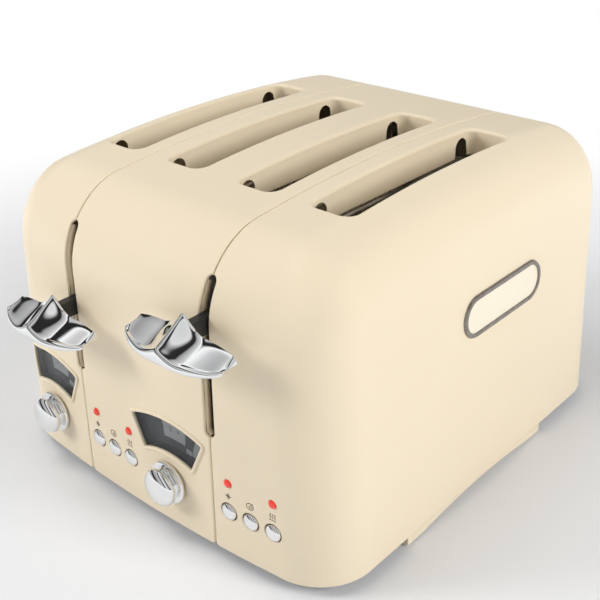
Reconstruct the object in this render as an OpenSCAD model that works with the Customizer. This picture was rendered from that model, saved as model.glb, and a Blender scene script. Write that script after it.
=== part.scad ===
// Four slice pop-up toaster: three pressed casings side by side over one base,
// two independent modules, each with its own lever, knob, window and three buttons.
// Frame: origin on the floor under the middle of the whole object, front towards -Y, +Z up.

/* [Casing] */
// Width of the casing at its base
body_w = 268; // [264:1:272]
// Depth of the casing, front to back
body_d = 312; // [308:1:316]
// Height of the highest point above the floor
body_h = 200; // [198:1:204]
// Height of the casing's lower edge above the floor
skirt_z = 7; // [6:0.5:8]
// Rounding where the front turns into the top
front_r = 42; // [38:1:46]
// Rounding where the back turns into the top
back_r = 42; // [38:1:46]
// Rounding of the two end casings towards the sides
side_r = 36; // [34:1:38]
// How far the front and back faces bow outwards at mid width
face_bow = 4.9; // [3:0.1:6]
// How far the top crowns upwards at mid depth
crown = 12; // [8:0.5:12]
// Share of the width lost from the floor to the top
taper = 0.09; // [0.07:0.01:0.1]
// Thickness of the pressed casing
wall = 1.8; // [1.6:0.1:2.4]
// Gap between neighbouring casings
seam_gap = 0.5; // [0.4:0.1:0.8]

/* [Bread slots] */
// Distance between the two seams, which is also the distance between the modules
module_pitch = 108; // [108:1:110]
// Distance between the two bread slots of a module
slot_pitch = 52; // [51:1:53]
// Width of a bread slot
slot_w = 28; // [26:1:28]
// Length of a bread slot
slot_l = 155; // [150:1:156]
// Distance from the front face to the near end of the slots
slot_from_front = 68.5; // [68:0.5:70]
// Depth of the turned-down flange round a slot
flange_h = 13; // [11:1:15]

/* [Levers] */
// Lowest point of a lever slot
lever_slot_low = 80; // [80:1:82]
// Highest point of a lever slot
lever_slot_high = 172; // [171:1:172]
// Width of a lever slot
lever_slot_w = 6.5; // [6:0.5:7]
// Height of the left lever's stem at rest
lever_z_left = 123; // [120:1:126]
// Height of the right lever's stem at rest
lever_z_right = 149; // [146:1:152]

/* [Controls] */
// Knob axis, sideways from its seam
knob_dx = -33.6; // [-34.5:0.1:-32.5]
// Knob axis above the floor
knob_z = 35.6; // [35:0.1:36.5]
// Radius of the knob's skirt
knob_r = 13.3; // [13:0.1:13.5]
// First button column, sideways from its seam
button_dx = 11.3; // [11:0.1:12]
// Distance between button columns
button_pitch = 15; // [14.5:0.1:15.5]
// Button row above the floor
button_z = 36; // [35:0.5:37]
// Lamp row above the floor
lamp_z = 55; // [54:0.5:56]
// Radius of a button hole
button_hole_r = 5.6; // [5.5:0.1:5.8]
// Radius of a button cap
button_r = 5.1; // [5:0.1:5.2]
// Travel of a button
button_travel = 2; // [1.5:0.5:2]

/* [Hidden] */
$fn = 48;
cream = [0.93, 0.89, 0.79];
chrome = [0.82, 0.83, 0.85];
steel = [0.68, 0.69, 0.70];
black = [0.08, 0.08, 0.08];
eps = 0.01;

// Front to back the levers stand out in front and the cord inlet behind: the casing is set
// so that the whole object is centred on the origin.
lever_reach = 31;
inlet_reach = 6;
front_y = -(body_d + lever_reach + inlet_reach) / 2 + lever_reach;
back_y = front_y + body_d;
flat_half = body_w / 2 - side_r;
seam_x = [-module_pitch / 2, module_pitch / 2];
slot_x = [for (s = seam_x, k = [-1, 1]) s + k * slot_pitch / 2];
slot_y0 = front_y + slot_from_front;
slot_y1 = slot_y0 + slot_l;
slot_mid_y = (slot_y0 + slot_y1) / 2;
slot_corner_r = 7;
lever_rest_z = [lever_z_left, lever_z_right];
guide_y = front_y + 47;
guide_r = 3;
plate_y = front_y + 60;
back_plate_y = slot_y1 + 8;
floor_top = skirt_z + 2.5;
arm_drop = 50;
stem_h = 10;
board_y = front_y + 15;
tray_z = 11;

// ---- Casing surface ------------------------------------------------------------------------

function bow(x) = face_bow * pow(min(abs(x), flat_half) / flat_half, 2);

// Sideways rounding: how far a section at x is set in from the middle section
function set_in(x, t) =
    let (r = side_r - t, e = min(max(abs(x) - flat_half, 0), r))
    r - sqrt(r * r - e * e);

// [y, z, normal y, normal z] round the middle section, front bottom to back bottom
function outline(t, low) =
    let (top = body_h - crown)
    concat(
        [[t, low, -1, 0]],
        [for (a = [0 : 10 : 90]) [front_r - (front_r - t) * cos(a), top - front_r + (front_r - t) * sin(a),
            -cos(a), sin(a)]],
        [for (k = [1 : 7]) [front_r + (body_d - front_r - back_r) * k / 8, top - t, 0, 1]],
        [for (a = [90 : -10 : 0]) [body_d - back_r + (back_r - t) * cos(a),
            top - back_r + (back_r - t) * sin(a), cos(a), sin(a)]],
        [[body_d - t, low, 1, 0]]
    );

function casing_point(x, p, t) =
    let (
        y = p[0] - p[2] * (set_in(x, t) + bow(x)),
        u = (y - body_d / 2) / (body_d / 2),
        z = p[1] - p[3] * set_in(x, t) + crown * (1 - u * u) * p[1] / body_h
    )
    [x * (1 - taper * z / body_h), front_y + y, z];

function stations(t) = concat(
    [for (a = [90 : -15 : 15]) -flat_half - (side_r - t) * sin(a)],
    [for (k = [-4 : 4]) flat_half * k / 4],
    [for (a = [15 : 15 : 90]) flat_half + (side_r - t) * sin(a)]
);

// The casing's closed outer form, t inside its outer face
module casing_form(t, low) {
    points = [for (x = stations(t), p = outline(t, low)) casing_point(x, p, t)];
    faces = [for (i = [0 : len(points) - 3]) [i, i + 1, i + 2]];
    hull() polyhedron(points, faces);
}

// Front face at a place on its upright part
function face_y(x, z) =
    let (s = abs(x) / (1 - taper * z / body_h))
    front_y + set_in(s, 0) + bow(s);

function plan(t) =
    let (xs = [for (x = stations(t)) if (abs(x) <= body_w / 2 - t) x])
    concat(
        [for (x = xs) [x, front_y + t + set_in(x, t) + bow(x)]],
        [for (i = [len(xs) - 1 : -1 : 0]) [xs[i], back_y - t - set_in(xs[i], t) - bow(xs[i])]]
    );

module rounded_slot(w, l, r, low, high) {
    translate([0, 0, low])
        linear_extrude(high - low)
            hull()
                for (sx = [-1, 1], sy = [-1, 1])
                    translate([sx * (w / 2 - r), sy * (l / 2 - r)])
                        circle(r, $fn = 32);
}

module upright_slot(w, low, high, depth) {
    rotate([-90, 0, 0])
        linear_extrude(depth)
            hull()
                for (z = [low + w / 2, high - w / 2])
                    translate([0, -z])
                        circle(w / 2, $fn = 32);
}

// Round-headed notch at a corner of a slot's flange, where the sheet is relieved
module flange_notch(x, y) {
    translate([x - 4, y, 0])
        rotate([90, 0, 90])
            linear_extrude(8)
                hull() {
                    translate([0, body_h - 13])
                        circle(6, $fn = 32);
                    translate([-6, body_h - 40])
                        square([12, 1]);
                }
}

module slot_cuts(centres) {
    for (c = centres) {
        translate([c, slot_mid_y, 0])
            rounded_slot(slot_w, slot_l, slot_corner_r, body_h - 45, body_h + 5);
        for (sx = [-1, 1], y = [slot_y0 + 10, slot_y1 - 10])
            flange_notch(c + sx * (slot_w / 2 + 1), y);
    }
}

module slot_flanges(centres) {
    for (c = centres)
        translate([c, slot_mid_y, 0])
            rounded_slot(slot_w + 2.4, slot_l + 2.4, slot_corner_r + 1.2, body_h - crown + 6 - flange_h, body_h + 5);
}

// ---- Windows: a fan-shaped opening above each knob ----------------------------------------

fan_drop = 26.6;
fan_r = [46, 68.5];
fan_half = 24;
fan_steps = 14;

// Points round the fan, grown outwards by g, anticlockwise as seen from the front
function fan(g) =
    let (r0 = fan_r[0] - g, r1 = fan_r[1] + g, d0 = fan_half + g / r0 * 57.3, d1 = fan_half + g / r1 * 57.3)
    concat(
        [for (k = [0 : fan_steps]) let (a = d0 - 2 * d0 * k / fan_steps) [-r0 * sin(a), r0 * cos(a)]],
        [for (k = [0 : fan_steps]) let (a = -d1 + 2 * d1 * k / fan_steps) [-r1 * sin(a), r1 * cos(a)]]
    );

function fan_x(s) = seam_x[s] + knob_dx;
fan_z = knob_z - fan_drop;

function on_face(s, p, off) = [fan_x(s) + p[0], face_y(fan_x(s) + p[0], fan_z + p[1]) + off, fan_z + p[1]];

// The same outline with its two straight sides divided, so that a frame keeps to the curved face
function side_points(a, b) = [for (k = [1 : 4]) a + (b - a) * k / 5];
function divided_fan(g) =
    let (f = fan(g), h = fan_steps + 1)
    concat(
        [for (k = [0 : h - 1]) f[k]], side_points(f[h - 1], f[h]),
        [for (k = [h : 2 * h - 1]) f[k]], side_points(f[2 * h - 1], f[0])
    );

// A frame that follows the curved face: its section is a closed list of [growth, depth]
module face_ring(s, section) {
    n = len(divided_fan(0));
    m = len(section);
    points = [for (q = section, p = divided_fan(q[0])) on_face(s, p, q[1])];
    faces = [for (k = [0 : m - 1], i = [0 : n - 1])
        let (a = k * n, b = ((k + 1) % m) * n, j = (i + 1) % n)
        each [[a + i, b + i, b + j], [a + i, b + j, a + j]]];
    polyhedron(points, faces);
}

// A pane that follows the curved face and fills the fan
module face_pane(s, g, front, back) {
    loop = fan(g);
    n = fan_steps + 1;
    points = [for (off = [front, back], p = loop) on_face(s, p, off)];
    m = 2 * n;
    faces = concat(
        [for (k = [0 : n - 2]) let (a = k, b = k + 1, c = m - 2 - k, d = m - 1 - k) each [
            [a, b, d], [b, c, d], [m + b, m + a, m + d], [m + b, m + d, m + c]
        ]],
        [for (i = [0 : m - 1]) let (j = (i + 1) % m) each [[i, m + i, m + j], [i, m + j, j]]]
    );
    polyhedron(points, faces);
}

module fan_cut(s) {
    translate([fan_x(s), front_y - 5, fan_z])
        rotate([90, 0, 0])
            mirror([0, 0, 1])
                linear_extrude(30)
                    polygon(fan(1.2));
}

// ---- Casings -------------------------------------------------------------------------------

function button_x(s, k) = seam_x[s] + button_dx + k * button_pitch;

// Turned a little, so that no hole's corner falls on an edge of the casing's facets
module face_hole(x, z, r) {
    translate([x, front_y - 5, z])
        rotate([-90, 3, 0])
            cylinder(r = r, h = 30, $fn = 26);
}

module control_cuts() {
    for (s = [0, 1]) {
        fan_cut(s);
        face_hole(fan_x(s), knob_z, 4);
        for (k = [0 : 2])
            face_hole(button_x(s, k), button_z, button_hole_r);
        for (k = [0, 2])
            face_hole(button_x(s, k), lamp_z, 2.6);
        translate([seam_x[s], front_y - 5, 0])
            upright_slot(lever_slot_w, lever_slot_low, lever_slot_high, 30);
        translate([seam_x[s] - 41.5, back_y - 20, tray_z - 1])
            cube([83, 30, 10]);
    }
    translate([0, back_y - 20, 32])
        rotate([-90, 0, 0])
            cylinder(r = 6.3, h = 30);
}

// One of the three casings: the form between two upright planes, hollowed, with its slots
module shell(x0, x1, centres) {
    color(cream)
        difference() {
            intersection() {
                casing_form(0, skirt_z - 2);
                translate([x0, front_y - 10, skirt_z])
                    cube([x1 - x0, body_d + 20, body_h]);
            }
            difference() {
                casing_form(wall, skirt_z - 4);
                slot_flanges(centres);
            }
            slot_cuts(centres);
            control_cuts();
        }
}

module shell_left() {
    shell(-body_w, seam_x[0] - seam_gap / 2, [slot_x[0]]);
}

module shell_centre() {
    shell(seam_x[0] + seam_gap / 2, seam_x[1] - seam_gap / 2, [slot_x[1], slot_x[2]]);
}

module shell_right() {
    shell(seam_x[1] + seam_gap / 2, body_w, [slot_x[3]]);
}

// ---- Base ----------------------------------------------------------------------------------

rail_x = body_w / 2 - 6.2;
rail_y = [front_y + 76, front_y + 225];
rail_mid = (rail_y[0] + rail_y[1]) / 2;
rail_under = 1.5;
screw_y = [rail_y[0] + 22, rail_y[1] - 22];
foot_y = [rail_y[0] + 12, rail_y[1] - 12];

// The rail's lower edge arches up between the feet
function rail_edge(y) = rail_under + 4 * (1 - pow(min(1, abs(y - rail_mid) / 60), 2));

module base_plate() {
    color(steel)
        difference() {
            translate([0, 0, skirt_z])
                linear_extrude(floor_top - skirt_z)
                    polygon(plan(wall + 0.9));
            for (sx = [-1, 1], y = screw_y)
                translate([sx * rail_x, y, 0])
                    cylinder(r = 1.7, h = 20);
            for (s = seam_x)
                translate([s, guide_y, 0])
                    cylinder(r = guide_r, h = 20);
            for (x = slot_x, k = [-2 : 2])
                translate([x - 8, slot_mid_y + k * 24 - 2, 0])
                    cube([16, 4, 20]);
        }
}

module foot_rail(side) {
    color(cream)
        difference() {
            translate([side * rail_x - 5.5, 0, 0])
                rotate([90, 0, 90])
                    linear_extrude(11)
                        polygon(concat(
                            [for (k = [0 : 30]) let (y = rail_y[0] + (rail_y[1] - rail_y[0]) * k / 30) [y, rail_edge(y)]],
                            [[rail_y[1], skirt_z], [rail_y[0], skirt_z]]
                        ));
            for (y = screw_y)
                translate([side * rail_x, y, 0]) {
                    cylinder(r = 1.7, h = 20);
                    cylinder(r = 3.2, h = 5.2);
                }
            for (y = foot_y)
                translate([side * rail_x, y, 0])
                    cylinder(r = 4, h = 4);
        }
}

module foot_rail_left() {
    foot_rail(-1);
}

module foot_rail_right() {
    foot_rail(1);
}

module feet() {
    color(black)
        for (sx = [-1, 1], y = foot_y)
            translate([sx * rail_x, y, 0])
                cylinder(r = 4, h = 4);
}

module base_screws() {
    color(steel)
        for (sx = [-1, 1], y = screw_y)
            translate([sx * rail_x, y, 3.4])
                difference() {
                    union() {
                        cylinder(r = 3, h = 1.8);
                        cylinder(r = 1.65, h = floor_top + 2 - 3.4);
                    }
                    translate([-0.5, -3.5, -eps])
                        cube([1, 7, 0.9]);
                }
}

module crumb_tray(s) {
    translate([seam_x[s] - 40, 0, tray_z])
        color(steel) {
            difference() {
                translate([0, slot_y0 + 2, 0])
                    cube([80, back_y + 1 - slot_y0 - 2, 6]);
                translate([1, slot_y0 + 3, 1])
                    cube([78, back_y - 3 - slot_y0 - 3, 6]);
            }
            translate([25, back_y + 1, 0])
                cube([30, 5, 1.5]);
            translate([25, back_y + 4.5, 1.5])
                cube([30, 1.5, 4.5]);
        }
}

module crumb_tray_left() {
    crumb_tray(0);
}

module crumb_tray_right() {
    crumb_tray(1);
}

// ---- Chassis -------------------------------------------------------------------------------

plate_low = 20;
plate_high = 174;
plate_t = 1.2;

// Upright sheet across the body, clear of the crumb trays below
module bulkhead(y) {
    translate([-104, y, plate_low])
        cube([208, plate_t, plate_high - plate_low]);
    for (x = [-100, 0, 100])
        translate([x - 4, y, floor_top])
            cube([8, plate_t, plate_low - floor_top + 1]);
}

module chassis_front() {
    color(steel) {
        difference() {
            bulkhead(plate_y);
            for (x = slot_x)
                translate([x - 5, plate_y - 5, 31])
                    cube([10, 20, 91]);
        }
        for (s = seam_x)
            difference() {
                translate([s - 20, guide_y - 6, plate_high])
                    cube([40, plate_y + plate_t - guide_y + 6, plate_t]);
                translate([s, guide_y, 0])
                    cylinder(r = guide_r, h = 200);
            }
    }
}

module chassis_back() {
    color(steel)
        bulkhead(back_plate_y);
}

module heater_board(x) {
    translate([x - 0.4, plate_y + plate_t, 30]) {
        cube([0.8, back_plate_y - plate_y - plate_t, 128]);
        for (k = [0 : 9])
            translate([-0.5, 12, 8 + k * 12])
                cube([1.8, back_plate_y - plate_y - plate_t - 24, 1.6]);
    }
}

module heaters(xs) {
    color([0.78, 0.70, 0.55])
        for (x = xs)
            heater_board(x);
}

heater_off = 17;

module heater_outer_left() {
    heaters([slot_x[0] - heater_off]);
}

module heater_mid_left() {
    heaters([slot_x[0] + heater_off, slot_x[1] - heater_off]);
}

module heater_inner_left() {
    heaters([slot_x[1] + heater_off]);
}

module heater_inner_right() {
    heaters([slot_x[2] - heater_off]);
}

module heater_mid_right() {
    heaters([slot_x[2] + heater_off, slot_x[3] - heater_off]);
}

module heater_outer_right() {
    heaters([slot_x[3] + heater_off]);
}

guide_off = 11;

// Two wire grilles, one each side of a bread slot
module bread_guide(x) {
    color(steel)
        for (sx = [-1, 1])
            translate([x + sx * guide_off, 0, 0]) {
                for (k = [0 : 8])
                    translate([0, slot_y0 + 14 + k * (slot_l - 28) / 8, 27])
                        cylinder(r = 0.9, h = 133, $fn = 6);
                for (z = [27, 160])
                    translate([0, plate_y + plate_t, z])
                        rotate([-90, 0, 0])
                            cylinder(r = 1.2, h = back_plate_y - plate_y - plate_t, $fn = 6);
            }
}

module bread_guide_1() {
    bread_guide(slot_x[0]);
}

module bread_guide_2() {
    bread_guide(slot_x[1]);
}

module bread_guide_3() {
    bread_guide(slot_x[2]);
}

module bread_guide_4() {
    bread_guide(slot_x[3]);
}

// ---- Carriages, levers and what lifts and holds them ---------------------------------------

module carriage(s) {
    z = lever_rest_z[s];
    x = seam_x[s];
    color(steel)
        difference() {
            union() {
                translate([x, guide_y, z - 30])
                    cylinder(r = 5.5, h = 36);
                translate([x - 30, guide_y + 5, z - arm_drop])
                    cube([60, 1.5, 45]);
                translate([x - 3, guide_y + 1, z - 30])
                    cube([6, 5, 25]);
                translate([x - 8, guide_y - 8, z - 5])
                    cube([16, 8, 9]);
                for (k = [-1, 1])
                    translate([x + k * slot_pitch / 2, 0, z - arm_drop]) {
                        translate([-3, guide_y + 5, 0])
                            cube([6, slot_y1 - 6 - guide_y - 5, 2]);
                        for (j = [0 : 5])
                            translate([-8, slot_y0 + 14 + j * 24, 0])
                                cube([16, 3, 2]);
                    }
            }
            translate([x, guide_y, 0])
                cylinder(r = guide_r + 0.05, h = 200);
        }
}

module carriage_left() {
    carriage(0);
}

module carriage_right() {
    carriage(1);
}

module lever_stem(s) {
    color(black)
        translate([seam_x[s] - 2.5, front_y - 12, lever_rest_z[s] - stem_h / 2])
            cube([5, guide_y - 8 - front_y + 12, stem_h]);
}

module lever_stem_left() {
    lever_stem(0);
}

module lever_stem_right() {
    lever_stem(1);
}

lever_half = 35;

// Back and front edge of the handle's plan, and its upper and lower faces; u runs across, v forward
function lever_back() = front_y - 9;
function lever_front(u) = front_y - lever_reach + 11 * pow(abs(u), 2.6);
function lever_top(u, v) =
    let (x = u * lever_half, peak = exp(-pow(x / 6.5, 2)))
    6 - 9 * v + (8.4 - 6 * v) * peak - (6 - 4 * v) * pow(abs(u), 5)
        - 2.6 * sin(180 * v) * (1 - 0.75 * peak) * (1 - pow(abs(u), 8));
function lever_under(u, v) = -8.5 - 3 * sin(180 * v) * (1 - pow(u, 4)) + (4 - 3 * v) * pow(abs(u), 5);

module lever(s) {
    nu = 28;
    nv = 8;
    m = (nu + 1) * (nv + 1);
    us = [for (i = [0 : nu]) -1 + 2 * i / nu];
    top = [for (u = us, j = [0 : nv]) let (v = j / nv)
        [u * lever_half, lever_back() + (lever_front(u) - lever_back()) * v, lever_top(u, v)]];
    under = [for (u = us, j = [0 : nv]) let (v = j / nv)
        [u * lever_half, lever_back() + (lever_front(u) - lever_back()) * v, lever_under(u, v)]];
    function at(i, j) = i * (nv + 1) + j;
    sheet = [for (i = [0 : nu - 1], j = [0 : nv - 1])
        each [[at(i, j), at(i + 1, j), at(i + 1, j + 1)], [at(i, j), at(i + 1, j + 1), at(i, j + 1)]]];
    rim = concat(
        [for (i = [0 : nu - 1]) at(i, 0)], [for (j = [0 : nv - 1]) at(nu, j)],
        [for (i = [nu : -1 : 1]) at(i, nv)], [for (j = [nv : -1 : 1]) at(0, j)]
    );
    n = len(rim);
    faces = concat(
        sheet,
        [for (f = sheet) [m + f[2], m + f[1], m + f[0]]],
        [for (k = [0 : n - 1]) let (a = rim[k], b = rim[(k + 1) % n])
            each [[b, a, m + a], [b, m + a, m + b]]]
    );
    color(chrome)
        difference() {
            translate([seam_x[s], 0, lever_rest_z[s]])
                polyhedron(concat(top, under), faces);
            translate([seam_x[s] - 2.5, front_y - 12, lever_rest_z[s] - stem_h / 2])
                cube([5, 20, stem_h]);
        }
}

module lever_left() {
    lever(0);
}

module lever_right() {
    lever(1);
}

module guide_rod(s) {
    color(chrome)
        translate([seam_x[s], guide_y, skirt_z])
            cylinder(r = guide_r, h = plate_high + plate_t - skirt_z);
}

module guide_rod_left() {
    guide_rod(0);
}

module guide_rod_right() {
    guide_rod(1);
}

// Helical spring between two heights, swept as a tube
module coil_spring(x, y, z0, z1, r, wire, turns) {
    per_turn = 12;
    sides = 5;
    n = turns * per_turn;
    points = [for (i = [0 : n], k = [0 : sides - 1])
        let (a = 360 * i / per_turn, b = 360 * k / sides, q = r + wire * cos(b))
        [x + q * cos(a), y + q * sin(a), z0 + wire + (z1 - z0 - 2 * wire) * i / n + wire * sin(b)]];
    faces = concat(
        [[for (k = [0 : sides - 1]) k]],
        [for (i = [0 : n - 1], k = [0 : sides - 1]) let (a = i * sides, b = (k + 1) % sides)
            each [[a + k, a + sides + k, a + sides + b], [a + k, a + sides + b, a + b]]],
        [[for (k = [sides - 1 : -1 : 0]) n * sides + k]]
    );
    polyhedron(points, faces);
}

module return_spring(s) {
    color(steel)
        coil_spring(seam_x[s] + 14, guide_y - 1, lever_rest_z[s] - 4.5, plate_high - 0.2, 3.2, 0.6, 10);
}

module return_spring_left() {
    return_spring(0);
}

module return_spring_right() {
    return_spring(1);
}

// Where the armature stops when the lever is right down, less a small gap
magnet_top = lever_slot_low + 6.5 - arm_drop - 0.3;

module magnet(s) {
    color([0.45, 0.28, 0.15])
        translate([seam_x[s] - 16, guide_y + 2, floor_top]) {
            translate([-7, -6, 0])
                cube([14, 12, 3]);
            cylinder(r = 3, h = magnet_top - floor_top);
            translate([0, 0, 3])
                cylinder(r = 5.5, h = magnet_top - floor_top - 6);
        }
}

module magnet_left() {
    magnet(0);
}

module magnet_right() {
    magnet(1);
}

module armature(s) {
    color(steel)
        translate([seam_x[s] - 22, guide_y - 3, lever_rest_z[s] - arm_drop]) {
            cube([12, 8, 2]);
        }
}

module armature_left() {
    armature(0);
}

module armature_right() {
    armature(1);
}

// ---- Control modules -----------------------------------------------------------------------

pot_y = front_y + 20;

module control_board(s) {
    color([0.16, 0.38, 0.22])
        difference() {
            translate([seam_x[s] + 5, board_y, 27])
                cube([44, 1.6, 34]);
            translate([button_x(s, 1), board_y - 5, 48])
                rotate([-90, 0, 0])
                    cylinder(r = 1.5, h = 20);
        }
    color(black)
        for (k = [0 : 2])
            translate([button_x(s, k) - 3, board_y - 1.6, button_z - 3])
                cube([6, 1.6, 6]);
    color([0.16, 0.38, 0.22])
        difference() {
            translate([fan_x(s) - 13, pot_y + 8, 20])
                cube([26, 1.6, 30]);
            translate([fan_x(s), pot_y, knob_z])
                rotate([-90, 0, 0])
                    cylinder(r = 3.05, h = 20);
        }
    color(steel)
        difference() {
            translate([fan_x(s), pot_y, knob_z])
                rotate([-90, 0, 0])
                    cylinder(r = 8, h = 8);
            translate([fan_x(s), pot_y - 1, knob_z])
                rotate([-90, 0, 0])
                    cylinder(r = 3.05, h = 20);
        }
}

module control_board_left() {
    control_board(0);
}

module control_board_right() {
    control_board(1);
}

// Rearmost plane of a knob, clear of the bowed face on both sides of it
function knob_back(s) =
    min(face_y(fan_x(s) - knob_r, knob_z), face_y(fan_x(s) + knob_r, knob_z), face_y(fan_x(s), knob_z)) - 0.4;
knob_l = 12.5;

module knob(s) {
    color(chrome)
        translate([fan_x(s), knob_back(s), knob_z])
            rotate([90, 0, 0])
                difference() {
                    rotate_extrude()
                        polygon(concat(
                            [[0, 0], [knob_r, 0], [knob_r, 1.4], [knob_r - 0.7, 2], [knob_r - 1, 8.6]],
                            [for (a = [10 : 10 : 80]) [knob_r - 3.4 + 2.4 * cos(a), 8.6 + 2.4 * sin(a)]],
                            [[6, knob_l - 0.4], [0, knob_l]]
                        ));
                    translate([0, 0, -eps])
                        cylinder(r = 3, h = 9);
                }
}

module knob_left() {
    knob(0);
}

module knob_right() {
    knob(1);
}

module knob_shaft(s) {
    color(steel)
        translate([fan_x(s), knob_back(s) - 9, knob_z])
            rotate([-90, 0, 0])
                cylinder(r = 3, h = pot_y + 12 - knob_back(s) + 9);
}

module knob_shaft_left() {
    knob_shaft(0);
}

module knob_shaft_right() {
    knob_shaft(1);
}

module scale_plate(s) {
    color([0.75, 0.77, 0.78])
        face_pane(s, 0.9, 6, 7);
}

module scale_plate_left() {
    scale_plate(0);
}

module scale_plate_right() {
    scale_plate(1);
}

module window_pane(s) {
    color([0.2, 0.22, 0.25, 0.6])
        face_pane(s, -0.6, 0.4, 1.8);
}

module window_left() {
    window_pane(0);
}

module window_right() {
    window_pane(1);
}

module window_frame(s) {
    color(cream)
        face_ring(s, [[1.8, -0.24], [1.6, -1.1], [-0.5, -1.1], [-0.5, 5.8], [1.1, 5.8], [1.1, -0.24]]);
}

module window_frame_left() {
    window_frame(0);
}

module window_frame_right() {
    window_frame(1);
}

// Domed cap with a retaining collar behind the casing and a stem to its switch
module push_button(s, k) {
    x = button_x(s, k);
    face = face_y(x, button_z);
    tip = board_y - 1.6 - button_travel - 0.2;
    collar = face + wall + 1.2;
    color(chrome)
        translate([x, face - 0.8, button_z])
            rotate([-90, 0, 0]) {
                intersection() {
                    translate([0, 0, 8])
                        sphere(r = 9.4);
                    translate([0, 0, -2])
                        cylinder(r = button_r, h = 3 + wall);
                }
                translate([0, 0, collar - face + 0.8])
                    cylinder(r = 6.6, h = 0.8);
                cylinder(r = 2.5, h = tip - face + 0.8);
            }
}

module defrost_button_left() {
    push_button(0, 0);
}

module bagel_button_left() {
    push_button(0, 1);
}

module reheat_button_left() {
    push_button(0, 2);
}

module defrost_button_right() {
    push_button(1, 0);
}

module bagel_button_right() {
    push_button(1, 1);
}

module reheat_button_right() {
    push_button(1, 2);
}

module lamps(s) {
    color([0.8, 0.05, 0.04])
        for (k = [0, 2])
            translate([button_x(s, k), face_y(button_x(s, k), lamp_z), lamp_z])
                rotate([-90, 0, 0]) {
                    intersection() {
                        translate([0, 0, 1.5])
                            sphere(r = 3.2);
                        translate([0, 0, -3])
                            cylinder(r = 3, h = 2.9);
                    }
                    translate([0, 0, -0.2])
                        cylinder(r = 2.5, h = board_y - face_y(button_x(s, k), lamp_z) + 0.2);
                }
}

module lamps_left() {
    lamps(0);
}

module lamps_right() {
    lamps(1);
}

// ---- Badge, cord inlet and terminals -------------------------------------------------------

badge_l = 84;
badge_h = 26;
badge_z = 120;
badge_y = front_y + 172;
side_lean = atan(body_w / 2 * taper / body_h);

module badge() {
    color(chrome)
        translate([body_w / 2 * (1 - taper * badge_z / body_h), badge_y, badge_z])
            rotate([0, -side_lean, 0])
                rotate([90, 0, 90])
                    linear_extrude(1.6)
                        union() {
                            for (k = [-1, 1])
                                translate([k * (badge_l - badge_h) / 2, 0])
                                    circle(badge_h / 2);
                            square([badge_l - badge_h, badge_h], center = true);
                        }
}

module cord_inlet() {
    color(black)
        translate([0, back_y, 32])
            rotate([-90, 0, 0])
                difference() {
                    union() {
                        translate([0, 0, 0.1])
                            cylinder(r = 9, h = inlet_reach - 0.1);
                        translate([0, 0, -8])
                            cylinder(r = 6.2, h = 9);
                    }
                    translate([0, 0, -10])
                        cylinder(r = 3.6, h = 30);
                }
}

module terminal_block() {
    color([0.9, 0.9, 0.86])
        difference() {
            translate([-12, back_y - 62, floor_top])
                cube([24, 14, 12]);
            for (k = [-1 : 1])
                translate([k * 7, back_y - 55, floor_top + 4])
                    cylinder(r = 2, h = 20);
        }
}

shell_left();
shell_centre();
shell_right();
base_plate();
foot_rail_left();
foot_rail_right();
feet();
base_screws();
crumb_tray_left();
crumb_tray_right();
chassis_front();
chassis_back();
heater_outer_left();
heater_mid_left();
heater_inner_left();
heater_inner_right();
heater_mid_right();
heater_outer_right();
bread_guide_1();
bread_guide_2();
bread_guide_3();
bread_guide_4();
carriage_left();
carriage_right();
lever_stem_left();
lever_stem_right();
lever_left();
lever_right();
guide_rod_left();
guide_rod_right();
return_spring_left();
return_spring_right();
magnet_left();
magnet_right();
armature_left();
armature_right();
control_board_left();
control_board_right();
knob_left();
knob_right();
knob_shaft_left();
knob_shaft_right();
scale_plate_left();
scale_plate_right();
window_left();
window_right();
window_frame_left();
window_frame_right();
defrost_button_left();
bagel_button_left();
reheat_button_left();
defrost_button_right();
bagel_button_right();
reheat_button_right();
lamps_left();
lamps_right();
badge();
cord_inlet();
terminal_block();
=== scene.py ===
"""Looks of a four slice pop-up toaster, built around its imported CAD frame.
Lengths are millimetres, as in the CAD source, until a piece is made, and metres from there on."""

from math import asin, atan, copysign, cos, pi, radians, sin, sqrt, tau

import bmesh
import bpy
import numpy as np
from mathutils import Matrix, Vector, kdtree
from mathutils.geometry import delaunay_2d_cdt


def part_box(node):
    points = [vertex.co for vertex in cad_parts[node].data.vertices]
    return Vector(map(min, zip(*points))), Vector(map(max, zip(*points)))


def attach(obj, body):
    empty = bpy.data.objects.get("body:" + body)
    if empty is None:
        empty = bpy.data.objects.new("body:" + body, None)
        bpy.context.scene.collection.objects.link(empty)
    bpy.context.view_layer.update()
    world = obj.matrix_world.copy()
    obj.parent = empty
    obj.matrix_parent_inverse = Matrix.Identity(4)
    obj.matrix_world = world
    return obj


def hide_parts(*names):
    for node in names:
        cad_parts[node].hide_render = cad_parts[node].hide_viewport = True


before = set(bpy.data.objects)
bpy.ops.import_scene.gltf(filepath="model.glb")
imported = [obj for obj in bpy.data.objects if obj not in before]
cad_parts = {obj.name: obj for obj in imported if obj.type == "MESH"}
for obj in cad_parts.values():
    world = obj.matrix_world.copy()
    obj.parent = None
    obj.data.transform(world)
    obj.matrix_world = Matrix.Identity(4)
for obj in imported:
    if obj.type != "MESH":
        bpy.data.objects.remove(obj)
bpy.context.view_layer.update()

MM = 0.001
SIDES = ("left", "right")
KINDS = ("defrost", "bagel", "reheat")
LIT = ("defrost", "reheat")


def box(node):
    """Lowest and highest corner of a CAD node, in millimetres."""
    low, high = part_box(node)
    return low / MM, high / MM


def middle(node):
    low, high = box(node)
    return (low + high) / 2


# ---- Sizes, as in the CAD source ----

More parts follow.
